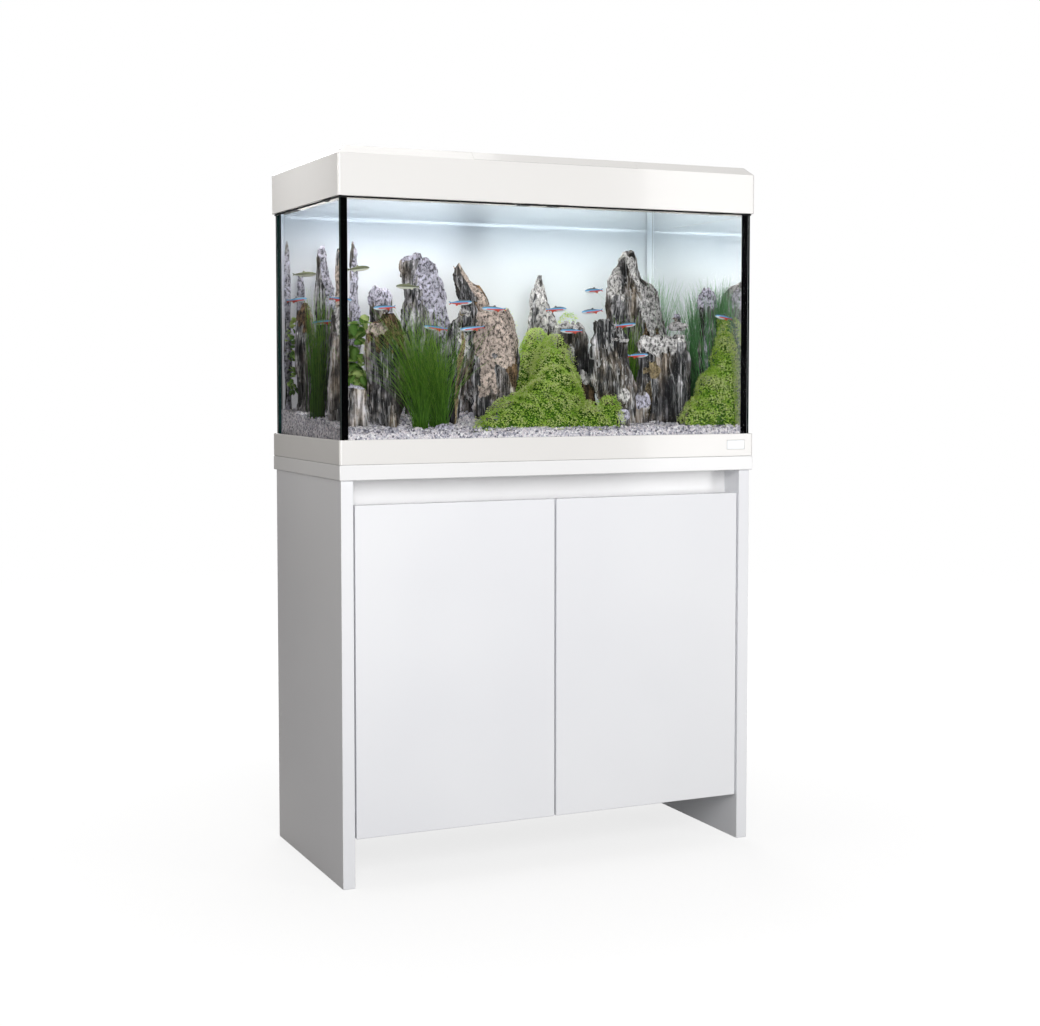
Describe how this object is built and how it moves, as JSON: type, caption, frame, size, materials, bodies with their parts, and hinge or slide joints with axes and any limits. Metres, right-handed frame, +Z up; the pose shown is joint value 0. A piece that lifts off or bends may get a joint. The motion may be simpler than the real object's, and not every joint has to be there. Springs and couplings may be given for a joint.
{
  "type": "aquarium on stand",
  "caption": "Rectangular planted glass aquarium with a chamfered white lidded hood and base trim on a white cabinet with handleless doors between full-height side panels.",
  "frame": {"origin": "on the floor under the middle of the cabinet", "axes": "+Z up along the height, +Y from front to back, +X from left to right as seen from the front"},
  "size_m": [0.812, 0.388, 1.26],
  "materials": {
    "satin_board": "satin white melamine-faced board",
    "gloss_board": "gloss white lacquered board",
    "hardboard": "thin white-faced board",
    "hinge_steel": "nickel-plated steel",
    "rubber": "soft black rubber",
    "gloss_plastic": "gloss white moulded plastic",
    "badge_plate": "blank light grey plate",
    "glass": "clear float glass with green edges",
    "silicone": "black silicone sealant",
    "background_film": "pale blue fading film",
    "gravel": "pale blue-grey and pinkish gravel",
    "slate": "split dark slate with pale and brown veins",
    "leaf": "lime green small leaves",
    "grass": "mid green thin blades",
    "lamp_housing": "anodised aluminium",
    "diffuser": "frosted white diffuser"
  },
  "bodies": {
    "cabinet_and_tank": {"left_side_panel": "satin_board", "right_side_panel": "satin_board", "cabinet_floor": "satin_board", "centre_divider": "satin_board", "cabinet_top": "gloss_board", "front_rail": "gloss_board", "back_panel": "hardboard", "hinge_arm_left_lower": "hinge_steel", "hinge_arm_left_upper": "hinge_steel", "hinge_arm_right_lower": "hinge_steel", "hinge_arm_right_upper": "hinge_steel", "base_frame": "gloss_plastic", "badge_plate": "badge_plate", "glass_front": "glass", "glass_back": "glass", "glass_left": "glass", "glass_right": "glass", "glass_bottom": "glass", "cross_brace": "glass", "seam_front_left": "silicone", "seam_front_right": "silicone", "seam_back_left": "silicone", "seam_back_right": "silicone", "hood_gasket": "silicone", "background_film": "background_film", "gravel_bed": "gravel", "rock_brown_cap": "slate", "rock_pale_shoulder": "slate", "rock_small_pale": "slate", "rock_slanted_peak": "slate", "rock_gold_streak": "slate", "rock_broad_brown": "slate", "rock_back_peak": "slate", "rock_pale_block": "slate", "rock_leaning_slate": "slate", "rock_tall_peak": "slate", "rock_white_cap": "slate", "rock_right_slab": "slate", "rock_left_front": "slate", "rock_left_brown": "slate", "rock_left_back": "slate", "carpet_plant_centre": "leaf", "carpet_plant_right": "leaf", "hair_grass_left": "grass", "hair_grass_right": "grass"},
    "door_left": {"door_left": "satin_board", "hinge_cup_left_lower": "hinge_steel", "hinge_cup_left_upper": "hinge_steel", "door_bumper_left": "rubber"},
    "door_right": {"door_right": "satin_board", "hinge_cup_right_lower": "hinge_steel", "hinge_cup_right_upper": "hinge_steel", "door_bumper_right": "rubber"},
    "hood": {"hood_frame": "gloss_plastic", "flap_pin_left": "hinge_steel", "flap_pin_right": "hinge_steel", "light_unit": "lamp_housing", "light_diffuser": "diffuser", "lead_grommet": "rubber"},
    "flap": {"feeding_flap": "gloss_plastic"}
  },
  "joints": [
    {"name": "door_left_hinge", "type": "hinge", "parent": "cabinet_and_tank", "child": "door_left", "pos_m": [-0.3765, -0.186, 0.37], "axis": [0, 0, -1], "range_deg": [0, 110]},
    {"name": "door_right_hinge", "type": "hinge", "parent": "cabinet_and_tank", "child": "door_right", "pos_m": [0.3765, -0.186, 0.37], "axis": [0, 0, 1], "range_deg": [0, 110]},
    {"name": "hood_lift", "type": "slide", "parent": "cabinet_and_tank", "child": "hood", "axis": [0, 0, 1], "range_m": [0, 0.15]},
    {"name": "flap_hinge", "type": "hinge", "parent": "hood", "child": "flap", "pos_m": [0, 0.02, 1.2565], "axis": [-1, 0, 0], "range_deg": [0, 85]}
  ]
}
